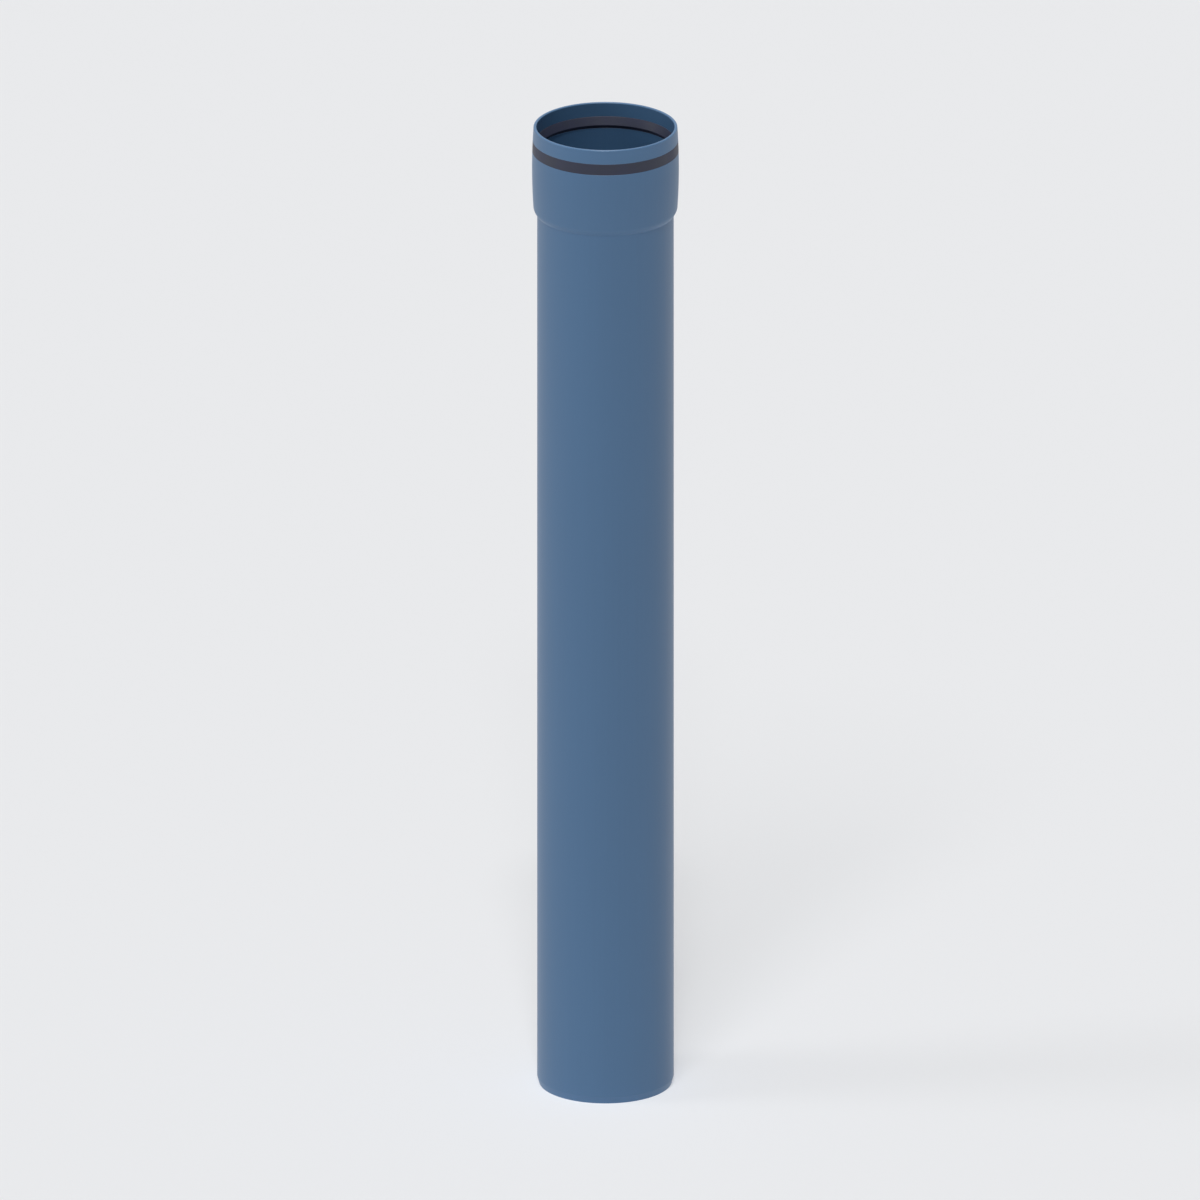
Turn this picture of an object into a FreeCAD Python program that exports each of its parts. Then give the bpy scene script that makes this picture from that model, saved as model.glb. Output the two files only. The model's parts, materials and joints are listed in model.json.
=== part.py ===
import FreeCAD, Part
import math
import os

import Sketcher

# Plastic sewer pipe of 110 mm outside diameter, standing on its plain end with the socket up.
# +Z runs along the pipe's axis, and the origin is the centre of the plain end's face.
# The pipe and its socket are one moulding. A retaining ring makes the socket's mouth, and a rubber
# seal is moulded round the ring's skirt, so that it shows as a band outside and as a lip inside.
# Sizes are in millimetres and degrees, and a depth is measured down from the socket's rim.

SIZES = {
    # the barrel of the pipe
    "pipe_od": 110.0,
    "pipe_wall": 3.4,
    "lay_length": 750.0,  # what one pipe adds to a run, from the plain end to the socket's stop
    "chamfer_length": 6.0,
    "chamfer_angle": 15.0,
    # the socket
    "socket_depth": 68.0,  # from the rim to the stop, where a pushed-in pipe ends
    "spigot_clearance": 1.1,  # socket bore less pipe outside, on the diameter
    "rim_wall": 2.35,
    "crown_wall": 3.6,  # at the fullest part of the barrel-shaped socket
    "shoulder_angle": 36.0,
    "shoulder_round": 8.0,
    "neck_round": 1.0,
    # the retaining ring
    "collar_height": 11.8,
    "rim_outer_round": 0.6,
    "rim_inner_round": 0.5,
    "skirt_inset": 1.2,  # from the socket's bore to the skirt's inner face
    "skirt_thickness": 1.0,
    "tongue_length": 4.0,
    "window_count": 24,
    "window_diameter": 4.0,
    # the seal
    "band_height": 9.1,
    "foot_drop": 1.0,  # how far the seal's foot, inside the skirt, reaches below the band
    "lip_squeeze": 1.7,  # how far the free lip stands inside a pipe's outside, on the radius
    "lip_depth": 6.6,  # from the seal's top to the lip's tip
    "lip_land": 1.0,
    "lip_thickness": 1.3,
    "seal_relief": 0.3,
}

PIPE_RADIUS = "(Sizes.pipe_od / 2)"
FLOW_RADIUS = f"({PIPE_RADIUS} - Sizes.pipe_wall)"
SOCKET_RADIUS = f"({PIPE_RADIUS} + Sizes.spigot_clearance / 2)"
RIM_RADIUS = f"({SOCKET_RADIUS} + Sizes.rim_wall)"
CROWN_RADIUS = f"({SOCKET_RADIUS} + Sizes.crown_wall)"
RIM_HEIGHT = "(Sizes.lay_length + Sizes.socket_depth)"
PLAIN_END_RADIUS = f"({PIPE_RADIUS} - Sizes.chamfer_length * tan(Sizes.chamfer_angle * 1deg))"

# The stop and the shoulder outside it are two parallel cones, one pipe wall apart.
SLOPE = "tan(Sizes.shoulder_angle * 1deg)"
CONE_WIDTH = "(Sizes.pipe_wall * cos(Sizes.shoulder_angle * 1deg))"
CONE_DROP = "(Sizes.pipe_wall * sin(Sizes.shoulder_angle * 1deg))"
STOP_FOOT_DEPTH = f"(Sizes.socket_depth + ({SOCKET_RADIUS} - {FLOW_RADIUS}) / {SLOPE})"
SHOULDER_DEPTH = f"(Sizes.socket_depth + {CONE_DROP} + ({CONE_WIDTH} - Sizes.rim_wall) / {SLOPE})"
NECK_DEPTH = f"(Sizes.socket_depth + {CONE_DROP} + ({SOCKET_RADIUS} + {CONE_WIDTH} - {PIPE_RADIUS}) / {SLOPE})"

# Outside, the socket is one long arc from the rim to the shoulder, fullest half-way down.
CROWN_DEPTH = f"({SHOULDER_DEPTH} / 2)"
CROWN_RISE = "(Sizes.crown_wall - Sizes.rim_wall)"
BARREL_ARC = f"(({CROWN_DEPTH} * {CROWN_DEPTH} + {CROWN_RISE} * {CROWN_RISE}) / (2 * {CROWN_RISE}))"

SEAL_TOP_DEPTH = "Sizes.collar_height"
SEAL_BASE_DEPTH = "(Sizes.collar_height + Sizes.band_height)"
SEAL_FOOT_DEPTH = f"({SEAL_BASE_DEPTH} + Sizes.foot_drop)"
SKIRT_INNER_RADIUS = f"({SOCKET_RADIUS} + Sizes.skirt_inset)"
SKIRT_OUTER_RADIUS = f"({SKIRT_INNER_RADIUS} + Sizes.skirt_thickness)"
TONGUE_DEPTH = f"({SEAL_BASE_DEPTH} + Sizes.tongue_length)"
LIP_RADIUS = f"({PIPE_RADIUS} - Sizes.lip_squeeze)"
SEAL_INNER_RADIUS = f"({SOCKET_RADIUS} + Sizes.seal_relief)"


def height(depth):
    """The height above the floor of a depth below the rim."""
    return f"({RIM_HEIGHT} - {depth})"


def barrel_radius(depth):
    """The socket's outside radius at a depth below the rim, on the barrel-shaped arc."""
    off_crown = f"({CROWN_DEPTH} - {depth})"
    return f"({CROWN_RADIUS} - {BARREL_ARC} + sqrt({BARREL_ARC} * {BARREL_ARC} - {off_crown} * {off_crown}))"


doc = FreeCAD.newDocument("SewerPipe")
sheet = doc.addObject("Spreadsheet::Sheet", "Sizes")
for row, (alias, size) in enumerate(SIZES.items(), start=1):
    sheet.set(f"A{row}", alias)
    sheet.set(f"B{row}", str(size))
    sheet.setAlias(f"B{row}", alias)
doc.recompute()


gauge = doc.addObject("App::VarSet", "Gauge")
gauge.addProperty("App::PropertyFloat", "Reading", "Gauge", "What an expression on the sheet comes to")


def measured(expression):
    """The number that an expression on the sheet gives now."""
    gauge.setExpression("Reading", expression)
    gauge.recompute()
    return gauge.Reading


def new_body(name, label):
    body = doc.addObject("PartDesign::Body", name)
    body.Label = label
    return body


def origin_part(body, role):
    return next(f for f in body.Origin.OriginFeatures if f.Role == role)


def new_sketch(body, name):
    """A sketch on the body's XZ plane, so that its X is the radius and its Y is the height."""
    sketch = body.newObject("Sketcher::SketchObject", name)
    sketch.AttachmentSupport = (origin_part(body, "XZ_Plane"), [""])
    sketch.MapMode = "FlatFace"
    return sketch


def bind(sketch, constraint, expression):
    """Adds a constraint whose value is an expression on the sheet."""
    sketch.setExpression(f"Constraints[{sketch.addConstraint(constraint)}]", expression)


def draw_section(sketch, corners):
    """Closes a half section through its corners, each (radius, height, kind of edge to the next one).

    An edge is a line, or for "barrel" a part of the socket's arc.
    """
    points = [FreeCAD.Vector(measured(r), measured(z), 0) for r, z, _ in corners]
    arc_radius = measured(BARREL_ARC)
    for i, (start, (_, _, kind)) in enumerate(zip(points, corners)):
        end = points[(i + 1) % len(points)]
        if kind == "line":
            sketch.addGeometry(Part.LineSegment(start, end), False)
            continue
        centre = FreeCAD.Vector(measured(f"{CROWN_RADIUS} - {BARREL_ARC}"), measured(height(CROWN_DEPTH)), 0)
        angles = sorted(math.atan2(p.y - centre.y, p.x - centre.x) for p in (start, end))
        circle = Part.Circle(centre, FreeCAD.Vector(0, 0, 1), arc_radius)
        sketch.addGeometry(Part.ArcOfCircle(circle, *angles), False)

    # A line starts at its first corner. An arc runs anticlockwise, so one drawn downwards ends there.
    at_start, at_end = 1, 2
    first_ends = [
        at_end if kind == "barrel" and points[i].y > points[(i + 1) % len(points)].y else at_start
        for i, (_, _, kind) in enumerate(corners)
    ]
    for i, (_, _, kind) in enumerate(corners):
        first = first_ends[i]
        last = at_start if first == at_end else at_end
        following = (i + 1) % len(corners)
        sketch.addConstraint(Sketcher.Constraint("Coincident", i, last, following, first_ends[following]))
        radius, level = corners[i][:2]
        bind(sketch, Sketcher.Constraint("DistanceX", -1, 1, i, first, points[i].x), radius)
        bind(sketch, Sketcher.Constraint("DistanceY", -1, 1, i, first, points[i].y), level)
        if kind == "barrel":
            bind(sketch, Sketcher.Constraint("Radius", i, arc_radius), BARREL_ARC)


def revolve(body, name, corners):
    """Turns a closed half section about the pipe's axis."""
    sketch = new_sketch(body, f"{name}Section")
    draw_section(sketch, corners)
    turned = body.newObject("PartDesign::Revolution", name)
    turned.Profile = sketch
    turned.ReferenceAxis = (sketch, ["V_Axis"])
    turned.Angle = 360
    doc.recompute()


def round_edge(body, name, radius, level, size_alias):
    """Rounds the circular edge at that radius and height."""
    base = body.Tip
    wanted = (measured(radius), measured(level))
    close = 0.01
    edges = [
        f"Edge{number}"
        for number, edge in enumerate(base.Shape.Edges, start=1)
        if isinstance(edge.Curve, Part.Circle)
        and abs(edge.Curve.Radius - wanted[0]) < close
        and abs(edge.Curve.Center.z - wanted[1]) < close
        and abs(abs(edge.Curve.Axis.z) - 1) < close
    ]
    if len(edges) != 1:
        raise RuntimeError(f"{name} needs one edge, and found {edges}")
    fillet = body.newObject("PartDesign::Fillet", name)
    fillet.Base = (base, edges)
    fillet.setExpression("Radius", f"Sizes.{size_alias}")
    doc.recompute()


def make_pipe():
    """The pipe and its socket, one moulding, with a groove in the socket's end for the ring's tongue."""
    body = new_body("PipeBody", "pipe")
    revolve(body, "PipeWall", [
        (PLAIN_END_RADIUS, "0", "line"),
        (PIPE_RADIUS, "Sizes.chamfer_length", "line"),
        (PIPE_RADIUS, height(NECK_DEPTH), "line"),
        (RIM_RADIUS, height(SHOULDER_DEPTH), "barrel"),
        (barrel_radius(SEAL_BASE_DEPTH), height(SEAL_BASE_DEPTH), "line"),
        (SKIRT_OUTER_RADIUS, height(SEAL_BASE_DEPTH), "line"),
        (SKIRT_OUTER_RADIUS, height(TONGUE_DEPTH), "line"),
        (SKIRT_INNER_RADIUS, height(TONGUE_DEPTH), "line"),
        (SKIRT_INNER_RADIUS, height(SEAL_FOOT_DEPTH), "line"),
        (SOCKET_RADIUS, height(SEAL_FOOT_DEPTH), "line"),
        (SOCKET_RADIUS, "Sizes.lay_length", "line"),
        (FLOW_RADIUS, height(STOP_FOOT_DEPTH), "line"),
        (FLOW_RADIUS, "0", "line"),
    ])
    round_edge(body, "ShoulderRound", RIM_RADIUS, height(SHOULDER_DEPTH), "shoulder_round")
    round_edge(body, "NeckRound", PIPE_RADIUS, height(NECK_DEPTH), "neck_round")
    return body


def make_retaining_ring():
    """The ring at the mouth: a collar that shows, and under the seal a skirt that plugs into the socket."""
    body = new_body("RetainingRingBody", "retaining_ring")
    revolve(body, "CollarAndSkirt", [
        (SOCKET_RADIUS, RIM_HEIGHT, "line"),
        (SOCKET_RADIUS, height(SEAL_TOP_DEPTH), "line"),
        (SKIRT_INNER_RADIUS, height(SEAL_TOP_DEPTH), "line"),
        (SKIRT_INNER_RADIUS, height(TONGUE_DEPTH), "line"),
        (SKIRT_OUTER_RADIUS, height(TONGUE_DEPTH), "line"),
        (SKIRT_OUTER_RADIUS, height(SEAL_TOP_DEPTH), "line"),
        (barrel_radius(SEAL_TOP_DEPTH), height(SEAL_TOP_DEPTH), "barrel"),
        (RIM_RADIUS, RIM_HEIGHT, "line"),
    ])
    round_edge(body, "RimOuterRound", RIM_RADIUS, RIM_HEIGHT, "rim_outer_round")
    round_edge(body, "RimInnerRound", SOCKET_RADIUS, RIM_HEIGHT, "rim_inner_round")
    cut_windows(body)
    return body


def cut_windows(body):
    """Round windows through the skirt, half-way down the seal, which let the rubber flow through."""
    sketch = new_sketch(body, "WindowOutline")
    middle = height(f"({SEAL_TOP_DEPTH} + Sizes.band_height / 2)")
    centre = FreeCAD.Vector(0, measured(middle), 0)
    sketch.addGeometry(Part.Circle(centre, FreeCAD.Vector(0, 0, 1), measured("Sizes.window_diameter") / 2), False)
    sketch.addConstraint(Sketcher.Constraint("PointOnObject", 0, 3, -2))
    bind(sketch, Sketcher.Constraint("DistanceY", -1, 1, 0, 3, centre.y), middle)
    bind(sketch, Sketcher.Constraint("Diameter", 0, measured("Sizes.window_diameter")), "Sizes.window_diameter")
    whole = body.Shape.Volume
    window = body.newObject("PartDesign::Pocket", "Window")
    window.Profile = sketch
    window.Type = "Length"
    window.setExpression("Length", CROWN_RADIUS)
    doc.recompute()
    if body.Shape.Volume >= whole:
        raise RuntimeError("the window cuts nothing out of the skirt")
    ring_of_windows = body.newObject("PartDesign::PolarPattern", "Windows")
    ring_of_windows.Originals = [window]
    ring_of_windows.Axis = (origin_part(body, "Z_Axis"), [""])
    ring_of_windows.Angle = 360
    ring_of_windows.setExpression("Occurrences", "Sizes.window_count")
    body.Tip = ring_of_windows
    doc.recompute()


def make_lip_seal(ring):
    """The rubber seal: the whole section from the band to the lip, less the skirt that it is moulded round."""
    blank = new_body("SealBlankBody", "seal_blank")
    lip_tip_depth = f"({SEAL_TOP_DEPTH} + Sizes.lip_depth)"
    # the lip's underside runs parallel to its top, one lip thickness away, up to the relief
    lean = f"(({SOCKET_RADIUS} - {LIP_RADIUS}) / Sizes.lip_depth)"
    across = f"(Sizes.lip_thickness * sqrt(1 + {lean} * {lean}))"
    root_depth = f"({lip_tip_depth} + ({LIP_RADIUS} + {across} - {SEAL_INNER_RADIUS}) / {lean})"
    revolve(blank, "SealSection", [
        (SOCKET_RADIUS, height(SEAL_TOP_DEPTH), "line"),
        (LIP_RADIUS, height(lip_tip_depth), "line"),
        (LIP_RADIUS, height(f"({lip_tip_depth} + Sizes.lip_land)"), "line"),
        (f"({LIP_RADIUS} + {across})", height(lip_tip_depth), "line"),
        (SEAL_INNER_RADIUS, height(root_depth), "line"),
        (SEAL_INNER_RADIUS, height(SEAL_FOOT_DEPTH), "line"),
        (SKIRT_INNER_RADIUS, height(SEAL_FOOT_DEPTH), "line"),
        (SKIRT_INNER_RADIUS, height(SEAL_BASE_DEPTH), "line"),
        (barrel_radius(SEAL_BASE_DEPTH), height(SEAL_BASE_DEPTH), "barrel"),
        (barrel_radius(SEAL_TOP_DEPTH), height(SEAL_TOP_DEPTH), "line"),
    ])
    seal = doc.addObject("Part::Cut", "LipSeal")
    seal.Label = "lip_seal"
    seal.Base = blank
    seal.Tool = ring
    doc.recompute()
    return seal


pipe = make_pipe()
retaining_ring = make_retaining_ring()
lip_seal = make_lip_seal(retaining_ring)
doc.removeObject("Gauge")
doc.recompute()

for item in doc.Objects:
    if {"Invalid", "Error"} & set(item.State):
        raise RuntimeError(f"{item.Label} failed: {item.State}")

os.makedirs("parts", exist_ok=True)
for piece in (pipe, retaining_ring, lip_seal):
    shape = piece.Shape
    if shape.isNull() or not shape.isValid() or len(shape.Solids) != 1:
        raise RuntimeError(f"{piece.Label} is not one valid solid")
    shape.exportStep(f"parts/{piece.Label}.step")
    box = shape.optimalBoundingBox(False)
    print(f"{piece.Label}: {box.XLength:.2f} x {box.YLength:.2f} x {box.ZLength:.2f} mm, {shape.Volume:.0f} mm3")
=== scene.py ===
import json
import math

import bpy
import numpy as np
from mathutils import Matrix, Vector


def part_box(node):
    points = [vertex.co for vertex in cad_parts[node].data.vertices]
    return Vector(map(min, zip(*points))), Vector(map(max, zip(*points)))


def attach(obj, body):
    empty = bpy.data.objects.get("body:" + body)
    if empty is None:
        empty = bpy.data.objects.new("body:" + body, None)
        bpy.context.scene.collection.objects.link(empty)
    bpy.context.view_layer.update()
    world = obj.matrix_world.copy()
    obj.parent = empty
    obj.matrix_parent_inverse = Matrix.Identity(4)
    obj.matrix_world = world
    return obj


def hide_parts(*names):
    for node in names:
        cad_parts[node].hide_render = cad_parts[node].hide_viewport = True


# A socketed plastic drain pipe, standing on its plain end with the socket up.
# Every size is in metres. The axis of the pipe is the Z axis, and the floor is at height zero.

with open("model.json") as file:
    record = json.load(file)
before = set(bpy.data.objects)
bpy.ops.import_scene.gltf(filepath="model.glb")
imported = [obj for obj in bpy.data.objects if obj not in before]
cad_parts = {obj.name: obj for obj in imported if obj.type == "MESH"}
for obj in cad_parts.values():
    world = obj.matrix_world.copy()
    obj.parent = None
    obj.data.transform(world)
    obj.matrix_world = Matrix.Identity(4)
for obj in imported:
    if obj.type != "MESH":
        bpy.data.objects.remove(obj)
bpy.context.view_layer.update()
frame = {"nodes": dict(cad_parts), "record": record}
mounts = {mount["name"]: mount for mount in frame["record"]["mounts"]}
print("frame: loaded", sorted(frame["nodes"]))

around = 360  # facets round the axis
arcSteps = 8  # facets in each rounded corner
millimetre = 0.001


def mountRadius(name):
    return mounts[name]["dims"]["r_mm"] * millimetre


pipeRadius = mountRadius("spigot")
flowRadius = mountRadius("flow_bore")
socketRadius = mountRadius("socket_mouth")
lipRadius = mountRadius("seal_lip")
flowTop = mounts["flow_bore"]["dims"]["length_mm"] * millimetre  # the foot of the sloping stop
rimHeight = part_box("retaining_ring")[1].z
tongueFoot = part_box("retaining_ring")[0].z
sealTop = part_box("lip_seal")[1].z
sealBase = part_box("pipe")[1].z
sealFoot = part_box("lip_seal")[0].z

barrel = {
    "pipeWall": 3.4 * millimetre,
    "rimWall": 2.35 * millimetre,
    "crownWall": 3.6 * millimetre,  # at the fullest part of the socket
    "shoulderSlope": math.radians(36),
    "chamferLength": 6 * millimetre,
    "chamferSlope": math.radians(15),
    "shoulderRound": 8 * millimetre,
    "neckRound": 1 * millimetre,
    "edgeRound": 0.25 * millimetre,
    "hiddenRound": 0.1 * millimetre,
    "longestFacet": 14 * millimetre,
}

# The shoulder outside and the stop inside are parallel cones, one wall apart.
slope = math.tan(barrel["shoulderSlope"])
coneWidth = barrel["pipeWall"] * math.cos(barrel["shoulderSlope"])
coneDrop = barrel["pipeWall"] * math.sin(barrel["shoulderSlope"])
stopTop = flowTop + (socketRadius - flowRadius) / slope
rimRadius = socketRadius + barrel["rimWall"]
crownRadius = socketRadius + barrel["crownWall"]
shoulderTop = stopTop - coneDrop - (coneWidth - barrel["rimWall"]) / slope
neckHeight = stopTop - coneDrop - (socketRadius + coneWidth - pipeRadius) / slope


def socketOutside(height):
    # One long arc from the rim to the shoulder, fullest half-way: the crown's radius, less the arc's
    # radius, plus the root of the arc's radius squared less the distance from half-way squared.
    halfWay = (rimHeight + shoulderTop) / 2
    halfSpan = (rimHeight - shoulderTop) / 2
    rise = crownRadius - rimRadius
    arc = (halfSpan**2 + rise**2) / (2 * rise)
    return crownRadius - arc + np.sqrt(arc**2 - (np.asarray(height) - halfWay) ** 2)


def socketStretch(low, high, facets=20):
    # points up the socket's outside, strictly between two heights
    heights = np.linspace(low, high, facets + 1)[1:-1]
    return [(radius, height, 0) for radius, height in zip(socketOutside(heights), heights)]


def roundedOutline(corners, longestFacet):
    # A closed outline of (radius, height, rounding), taken anticlockwise. Where two edges turn by an angle,
    # the arc begins rounding times tan(angle / 2) before the corner. Its centre lies one rounding off the
    # edge, and its points are that centre plus the rounding times a normal that turns evenly from the first
    # edge's to the second's. Long edges are then cut into equal facets, along which the normal is blended.
    points = np.array([corner[:2] for corner in corners], float)
    rounding = np.array([corner[2] for corner in corners], float)
    before = points - np.roll(points, 1, axis=0)
    after = np.roll(before, -1, axis=0)
    heading = np.arctan2(before[:, 1], before[:, 0])
    turn = np.arctan2(before[:, 0] * after[:, 1] - before[:, 1] * after[:, 0], (before * after).sum(1))
    unit = before / np.linalg.norm(before, axis=1, keepdims=True)
    starts = points - unit * (rounding * np.tan(np.abs(turn) / 2))[:, None]
    side = (np.sign(turn) * rounding)[:, None]
    centres = starts - side * np.stack([np.sin(heading), -np.cos(heading)], 1)
    share = np.linspace(0, 1, arcSteps + 1)
    angles = heading[:, None] + turn[:, None] * share
    normals = np.stack([np.sin(angles), -np.cos(angles)], 2)
    samples = centres[:, None] + side[:, None] * normals
    kept = (rounding > 0)[:, None] | (share == 0.5)  # an unrounded corner is a single point
    samples, normals = samples[kept], normals[kept]

    step = np.roll(samples, -1, axis=0) - samples
    facets = np.maximum(np.ceil(np.linalg.norm(step, axis=1) / longestFacet), 1).astype(int)
    first = np.repeat(np.cumsum(facets) - facets, facets)
    fraction = ((np.arange(facets.sum()) - first) / np.repeat(facets, facets))[:, None]
    source = np.repeat(np.arange(len(samples)), facets)
    outline = samples[source] + step[source] * fraction
    blended = normals[source] * (1 - fraction) + np.roll(normals, -1, axis=0)[source] * fraction
    return outline, blended / np.linalg.norm(blended, axis=1, keepdims=True)


def turned(name, outlines, segments=around):
    # Each outline is carried round the axis: x and y are the radius times the cosine and sine of the angle,
    # and the surface's normal turns with them. The last column of faces joins the first.
    angle = np.linspace(0, 2 * math.pi, segments, endpoint=False)[:, None]
    places, normals, quads = [], [], []
    count = 0
    for outline, direction in outlines:
        rows = len(outline)
        places.append(np.stack([
            np.cos(angle) * outline[:, 0], np.sin(angle) * outline[:, 0], np.ones_like(angle) * outline[:, 1],
        ], 2).reshape(-1, 3))
        normals.append(np.stack([
            np.cos(angle) * direction[:, 0], np.sin(angle) * direction[:, 0],
            np.ones_like(angle) * direction[:, 1],
        ], 2).reshape(-1, 3))
        here = np.arange(segments)[:, None] * rows
        onward = np.roll(here, -1, axis=0)
        low = np.arange(rows)
        high = np.roll(low, -1)
        faces = np.stack([here + low, onward + low, onward + high, here + high], 2)
        quads.append(count + faces.reshape(-1, 4))
        count += segments * rows
    mesh = bpy.data.meshes.new(name)
    mesh.from_pydata(np.concatenate(places).tolist(), [], np.concatenate(quads).tolist())
    mesh.shade_smooth()
    mesh.normals_split_custom_set_from_vertices(np.concatenate(normals).tolist())
    piece = bpy.data.objects.new(name, mesh)
    bpy.context.scene.collection.objects.link(piece)
    return piece


def makePipe():
    # barrel, chamfered plain end, shoulder, socket wall and the stop inside, in one closed surface
    edge, hidden = barrel["edgeRound"], barrel["hiddenRound"]
    plainEndRadius = pipeRadius - barrel["chamferLength"] * math.tan(barrel["chamferSlope"])
    skirtIn = socketRadius + ring["skirtInset"]
    skirtOut = skirtIn + ring["skirtThickness"]
    corners = [
        (flowRadius, 0, edge),
        (plainEndRadius, 0, edge),
        (pipeRadius, barrel["chamferLength"], 2 * edge),
        (pipeRadius, neckHeight, barrel["neckRound"]),
        (rimRadius, shoulderTop, barrel["shoulderRound"]),
        *socketStretch(shoulderTop, sealBase),
        (float(socketOutside(sealBase)), sealBase, edge),
        (skirtOut, sealBase, hidden),
        (skirtOut, tongueFoot, hidden),
        (skirtIn, tongueFoot, hidden),
        (skirtIn, sealFoot, hidden),
        (socketRadius, sealFoot, hidden),
        (socketRadius, stopTop, barrel["neckRound"]),
        (flowRadius, flowTop, barrel["neckRound"]),
    ]
    return turned("pipeMoulding", [roundedOutline(corners, barrel["longestFacet"])])


ring = {
    "skirtInset": 1.2 * millimetre,  # from the socket's bore to the skirt's inner face
    "skirtThickness": 1 * millimetre,
    "outerRound": 0.9 * millimetre,
    "innerRound": 0.9 * millimetre,
    "footRound": 0.25 * millimetre,
    "hiddenRound": 0.1 * millimetre,
    "longestFacet": 3 * millimetre,
}


def makeRing():
    # the collar that shows, and under it the skirt that the seal is moulded round
    skirtIn = socketRadius + ring["skirtInset"]
    skirtOut = skirtIn + ring["skirtThickness"]
    corners = [
        (skirtIn, tongueFoot, ring["hiddenRound"]),
        (skirtOut, tongueFoot, ring["hiddenRound"]),
        (skirtOut, sealTop, ring["hiddenRound"]),
        (float(socketOutside(sealTop)), sealTop, ring["footRound"]),
        *socketStretch(sealTop, rimHeight, 8),
        (rimRadius, rimHeight, ring["outerRound"]),
        (socketRadius, rimHeight, ring["innerRound"]),
        (socketRadius, sealTop, ring["footRound"]),
        (skirtIn, sealTop, ring["hiddenRound"]),
    ]
    return turned("mouthRing", [roundedOutline(corners, ring["longestFacet"])])


seal = {
    "lipThickness": 1.3 * millimetre,
    "edgeRound": 0.2 * millimetre,
    "seamRound": 0.45 * millimetre,
    "tipRound": 0.3 * millimetre,
    "hiddenRound": 0.1 * millimetre,
    "longestFacet": 2 * millimetre,
}


def makeSeal():
    # the band outside the ring's skirt, and inside it the lip, whose cone leans in as it goes down
    skirtIn = socketRadius + ring["skirtInset"]
    skirtOut = skirtIn + ring["skirtThickness"]
    landLength = mounts["seal_lip"]["dims"]["length_mm"] * millimetre
    tipTop = mounts["seal_lip"]["pos_m"][2] + landLength / 2
    lean = (socketRadius - lipRadius) / (sealTop - tipTop)
    across = seal["lipThickness"] * math.sqrt(1 + lean**2)
    rootHeight = tipTop - (lipRadius + across - socketRadius) / lean
    edge, hidden = seal["edgeRound"], seal["hiddenRound"]
    band = [
        (skirtOut, sealBase, hidden),
        (float(socketOutside(sealBase)), sealBase, edge),
        *socketStretch(sealBase, sealTop, 6),
        (float(socketOutside(sealTop)), sealTop, edge),
        (skirtOut, sealTop, hidden),
    ]
    lip = [
        (socketRadius, sealFoot, hidden),
        (skirtIn, sealFoot, hidden),
        (skirtIn, sealTop, hidden),
        (socketRadius, sealTop, seal["seamRound"]),
        (lipRadius, tipTop, seal["tipRound"]),
        (lipRadius, tipTop - landLength, seal["tipRound"]),
        (lipRadius + across, tipTop, hidden),
        (socketRadius, rootHeight, hidden),
    ]
    return turned("rubberSeal", [roundedOutline(outline, seal["longestFacet"]) for outline in (band, lip)])


pipePiece = makePipe()
ringPiece = makeRing()
sealPiece = makeSeal()
print("surfaces: pipe, ring and seal made")


class Value:
    # an output socket of a material, on which sums and products add Math nodes
    def __init__(self, graph, socket):
        self.graph = graph
        self.socket = socket

    def __add__(self, other):
        return self.graph.math("ADD", self, other)

    def __sub__(self, other):
        return self.graph.math("SUBTRACT", self, other)

    def __rsub__(self, other):
        return self.graph.math("SUBTRACT", other, self)

    def __mul__(self, other):
        return self.graph.math("MULTIPLY", self, other)

    __radd__ = __add__
    __rmul__ = __mul__


class Graph:
    # the nodes of one material or of the world
    def __init__(self, tree):
        self.tree = tree
        tree.nodes.clear()

    def add(self, kind, settings=None, inputs=None, output=0):
        node = self.tree.nodes.new(kind)
        for name, setting in (settings or {}).items():
            setattr(node, name, setting)
        for name, given in (inputs or {}).items():
            if isinstance(given, Value):
                self.tree.links.new(given.socket, node.inputs[name])
            else:
                node.inputs[name].default_value = given
        return Value(self, node.outputs[output]) if node.outputs else node

    def math(self, operation, first, second):
        return self.add("ShaderNodeMath", {"operation": operation}, {0: first, 1: second})

    def point(self, stretch=(1, 1, 1)):
        place = self.add("ShaderNodeTexCoord", output="Object")
        return self.add("ShaderNodeMapping", {}, {"Vector": place, "Scale": stretch})

    def noise(self, point, scale, detail=2.0, roughness=0.5):
        return self.add("ShaderNodeTexNoise", {}, {
            "Vector": point, "Scale": scale, "Detail": detail, "Roughness": roughness,
        })

    def mask(self, value, low, high):
        # nought below low and one above high, with a smooth step between; low may be the larger
        return self.add("ShaderNodeMapRange", {"interpolation_type": "SMOOTHSTEP"}, {
            "Value": value, "From Min": low, "From Max": high,
        })

    def mix(self, factor, first, second):
        colourResult = 2
        inputs = {0: factor, 6: first, 7: second}
        return self.add("ShaderNodeMix", {"data_type": "RGBA"}, inputs, colourResult)


def paint(colour, share=1.0):
    return (*[channel * share for channel in colour], 1)


def startMaterial(name):
    material = bpy.data.materials.new(name)
    material.use_nodes = True
    return material, Graph(material.node_tree)


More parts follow.
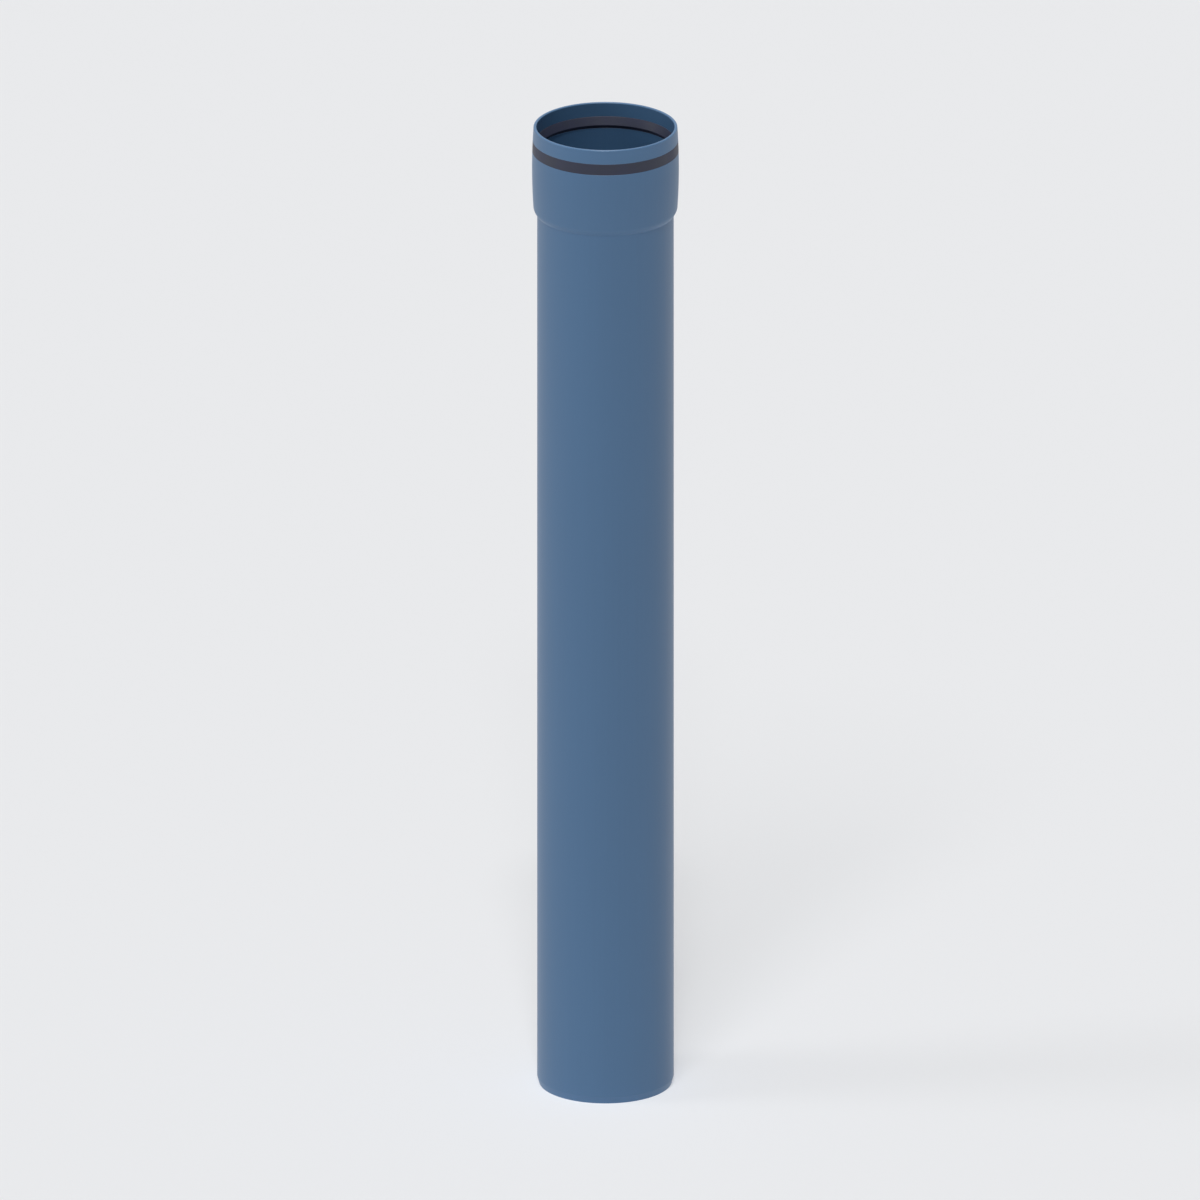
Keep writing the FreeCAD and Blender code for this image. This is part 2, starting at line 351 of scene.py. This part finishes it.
plastic = {
    "colour": (0.072, 0.168, 0.315),
    "toneSpread": 0.05,  # how much darker or lighter the colour drifts
    "roughness": 0.42,
    "specular": 0.54,
    "drift": 9,  # how often the tone changes, per metre
    "driftStretch": (1, 1, 0.35),
    "driftTone": 0.8,
    "driftRoughness": 0.10,
    "drawnLines": 420,  # along the barrel, per metre round it
    "linesTone": 0.5,
    "linesRoughness": 0.10,
    "linesRelief": 0.7,
    "peel": 900,  # the fine skin of the moulding, per metre
    "reliefDepth": 0.06 * millimetre,
    "scuffColour": (0.139, 0.242, 0.383),
    "scuffShare": 0.10,
    "scuffMarks": 260,  # per metre, long ones along the pipe
    "scuffStretch": (1, 1, 0.12),
    "scuffLimits": (0.66, 0.8),  # where the marks begin to show, and where they show in full
    "patchLimits": (0.48, 0.62),  # the same for the patches that have marks
    "scuffRoughness": 0.6,
    "peelRelief": 0.3,
}


def bluePlastic(name, lines, linesShare):
    # The colour drifts a little along and round the pipe. Long fine lines follow the way the plastic was
    # drawn, and show in the gloss and as a shallow relief, over the skin's own fine grain.
    material, graph = startMaterial(name)
    broad = graph.noise(graph.point(plastic["driftStretch"]), plastic["drift"])
    drawn = graph.noise(graph.point(lines), plastic["drawnLines"], 3)
    grain = graph.noise(graph.point(), plastic["peel"], 2)
    marks = graph.noise(graph.point(plastic["scuffStretch"]), plastic["scuffMarks"], 4, 0.62)
    patches = graph.mask(broad, *plastic["patchLimits"])
    scuffs = graph.mask(marks, *plastic["scuffLimits"]) * patches * plastic["scuffShare"]
    spread = plastic["toneSpread"]
    driftTone = (broad - 0.5) * plastic["driftTone"]
    tone = driftTone + (drawn - 0.5) * plastic["linesTone"] * linesShare + 0.5
    drift = graph.mix(tone, paint(plastic["colour"], 1 - spread), paint(plastic["colour"], 1 + spread))
    colour = graph.mix(scuffs, drift, paint(plastic["scuffColour"]))
    linesRough = (drawn - 0.5) * plastic["linesRoughness"] * linesShare
    driftRough = (broad - 0.5) * plastic["driftRoughness"]
    rough = plastic["roughness"] + linesRough + driftRough + scuffs * plastic["scuffRoughness"]
    relief = graph.add("ShaderNodeBump", {}, {
        "Height": drawn * plastic["linesRelief"] * linesShare + grain * plastic["peelRelief"],
        "Strength": 0.5, "Distance": plastic["reliefDepth"],
    })
    shader = graph.add("ShaderNodeBsdfPrincipled", {}, {
        "Base Color": colour, "Roughness": rough, "Normal": relief, "Specular IOR Level": plastic["specular"],
    })
    graph.add("ShaderNodeOutputMaterial", {}, {"Surface": shader})
    return material


rubber = {
    "colour": (0.01, 0.014, 0.035),
    "bloomColour": (0.014, 0.018, 0.048),  # the pale bloom that comes out on moulded rubber
    "roughness": 0.5,
    "specular": 0.6,
    "cloud": 60,  # per metre
    "bloomLimits": (0.35, 0.75),
    "bloomRoughness": 0.12,
    "grainRoughness": 0.08,
    "grain": 1300,
    "reliefDepth": 0.03 * millimetre,
}


def blackRubber(name):
    # dark, with a faint cloudy bloom that is also duller, and the fine grain of the mould
    material, graph = startMaterial(name)
    cloud = graph.noise(graph.point(), rubber["cloud"], 4, 0.6)
    grain = graph.noise(graph.point(), rubber["grain"], 2)
    bloom = graph.mask(cloud, *rubber["bloomLimits"])
    colour = graph.mix(bloom, paint(rubber["colour"]), paint(rubber["bloomColour"]))
    grainRough = (grain - 0.5) * rubber["grainRoughness"]
    rough = rubber["roughness"] + bloom * rubber["bloomRoughness"] + grainRough
    relief = graph.add("ShaderNodeBump", {}, {
        "Height": grain, "Strength": 0.4, "Distance": rubber["reliefDepth"],
    })
    shader = graph.add("ShaderNodeBsdfPrincipled", {}, {
        "Base Color": colour, "Roughness": rough, "Normal": relief, "Specular IOR Level": rubber["specular"],
    })
    graph.add("ShaderNodeOutputMaterial", {}, {"Surface": shader})
    return material


pipePiece.data.materials.append(bluePlastic("drawnBluePlastic", (1, 1, 0.012), 1.0))
ringPiece.data.materials.append(bluePlastic("mouldedBluePlastic", (1, 1, 1), 0.35))
sealPiece.data.materials.append(blackRubber("sealRubber"))
print("materials: plastic and rubber made")


for piece, node, slot in (
    (pipePiece, "pipe", "blue_plastic"),
    (ringPiece, "retaining_ring", "blue_plastic_ring"),
    (sealPiece, "lip_seal", "seal_rubber"),
):
    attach(piece, "root")
    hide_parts(node)
print("frame: pieces ride on it")


studio = {
    "floorWidth": 30,
    "floorColour": (0.823, 0.831, 0.847),
    "skyShare": 0.1,  # of the light that falls on the floor
}

# Each lamp is a soft sun: its share of the floor's light, then in degrees its elevation, how far right of
# straight back its shadows fall and how wide it looks, then whether it casts shadows. The one straight
# overhead is a plain fill and casts none, so that the socket leaves no ring on the floor round the foot.
lamps = {
    "topLight": (0.559, 90, 0, 2, False),
    "keyLight": (0.132, 50, 13, 18, True),
    "sideLight": (0.041, 20, 84, 20, True),
    "lowSideLight": (0.014, 12, 84, 30, True),
    "frontLight": (0.04, 40, 0, 6, True),
    "highFrontLight": (0.102, 60, 0, 6, True),
}


def makeFloor():
    half = studio["floorWidth"] / 2
    mesh = bpy.data.meshes.new("studioFloor")
    corners = [(-half, -half, 0), (half, -half, 0), (half, half, 0), (-half, half, 0)]
    mesh.from_pydata(corners, [], [(0, 1, 2, 3)])
    floor = bpy.data.objects.new("studioFloor", mesh)
    bpy.context.scene.collection.objects.link(floor)
    material, graph = startMaterial("palePaper")
    shader = graph.add("ShaderNodeBsdfDiffuse", {}, {"Color": paint(studio["floorColour"])})
    graph.add("ShaderNodeOutputMaterial", {}, {"Surface": shader})
    mesh.materials.append(material)


def makeWorld():
    # Even white light from all round. Cameras and glossy surfaces see it in the floor's colour instead.
    world = bpy.data.worlds.new("studioWorld")
    world.use_nodes = True
    graph = Graph(world.node_tree)
    camera = graph.add("ShaderNodeLightPath", output="Is Camera Ray")
    glossy = graph.add("ShaderNodeLightPath", output="Is Glossy Ray")
    light = graph.add("ShaderNodeBackground", {}, {"Color": (1, 1, 1, 1), "Strength": studio["skyShare"]})
    paper = graph.add("ShaderNodeBackground", {}, {"Color": paint(studio["floorColour"]), "Strength": 1.0})
    either = graph.add("ShaderNodeMixShader", {}, {0: camera + glossy, 1: light, 2: paper})
    graph.add("ShaderNodeOutputWorld", {}, {"Surface": either})
    bpy.context.scene.world = world


def makeLamp(name, share, elevation, azimuth, width, castsShadow):
    # A sun that gives the floor its share needs a strength of pi times the share over the elevation's sine.
    level = math.cos(math.radians(elevation))
    drop = math.sin(math.radians(elevation))
    turn = math.radians(azimuth)
    travel = Vector((math.sin(turn) * level, math.cos(turn) * level, -drop))
    sun = bpy.data.lights.new(name, "SUN")
    sun.energy = math.pi * share / drop
    sun.angle = math.radians(width)
    sun.use_shadow = castsShadow
    lamp = bpy.data.objects.new(name, sun)
    lamp.rotation_euler = travel.to_track_quat("-Z", "Y").to_euler()
    lamp.location = -2 * travel
    bpy.context.scene.collection.objects.link(lamp)


view = {
    "elevation": math.radians(20),
    "width": 0.9662,
    "aim": (-0.0044, 0.0, 0.412),
    "distance": 4.0,
    "reach": 60,
}


def makeCamera():
    lens = bpy.data.cameras.new("viewCamera")
    lens.type = "ORTHO"
    lens.ortho_scale = view["width"]
    lens.clip_end = view["reach"]
    camera = bpy.data.objects.new("viewCamera", lens)
    look = Vector((0, math.cos(view["elevation"]), -math.sin(view["elevation"])))
    camera.location = Vector(view["aim"]) - look * view["distance"]
    camera.rotation_euler = look.to_track_quat("-Z", "Y").to_euler()
    bpy.context.scene.collection.objects.link(camera)
    bpy.context.scene.camera = camera


makeFloor()
makeWorld()
for name, settings in lamps.items():
    makeLamp(name, *settings)
makeCamera()
bpy.context.scene.view_settings.view_transform = "Standard"
print("studio: floor, light and camera made")
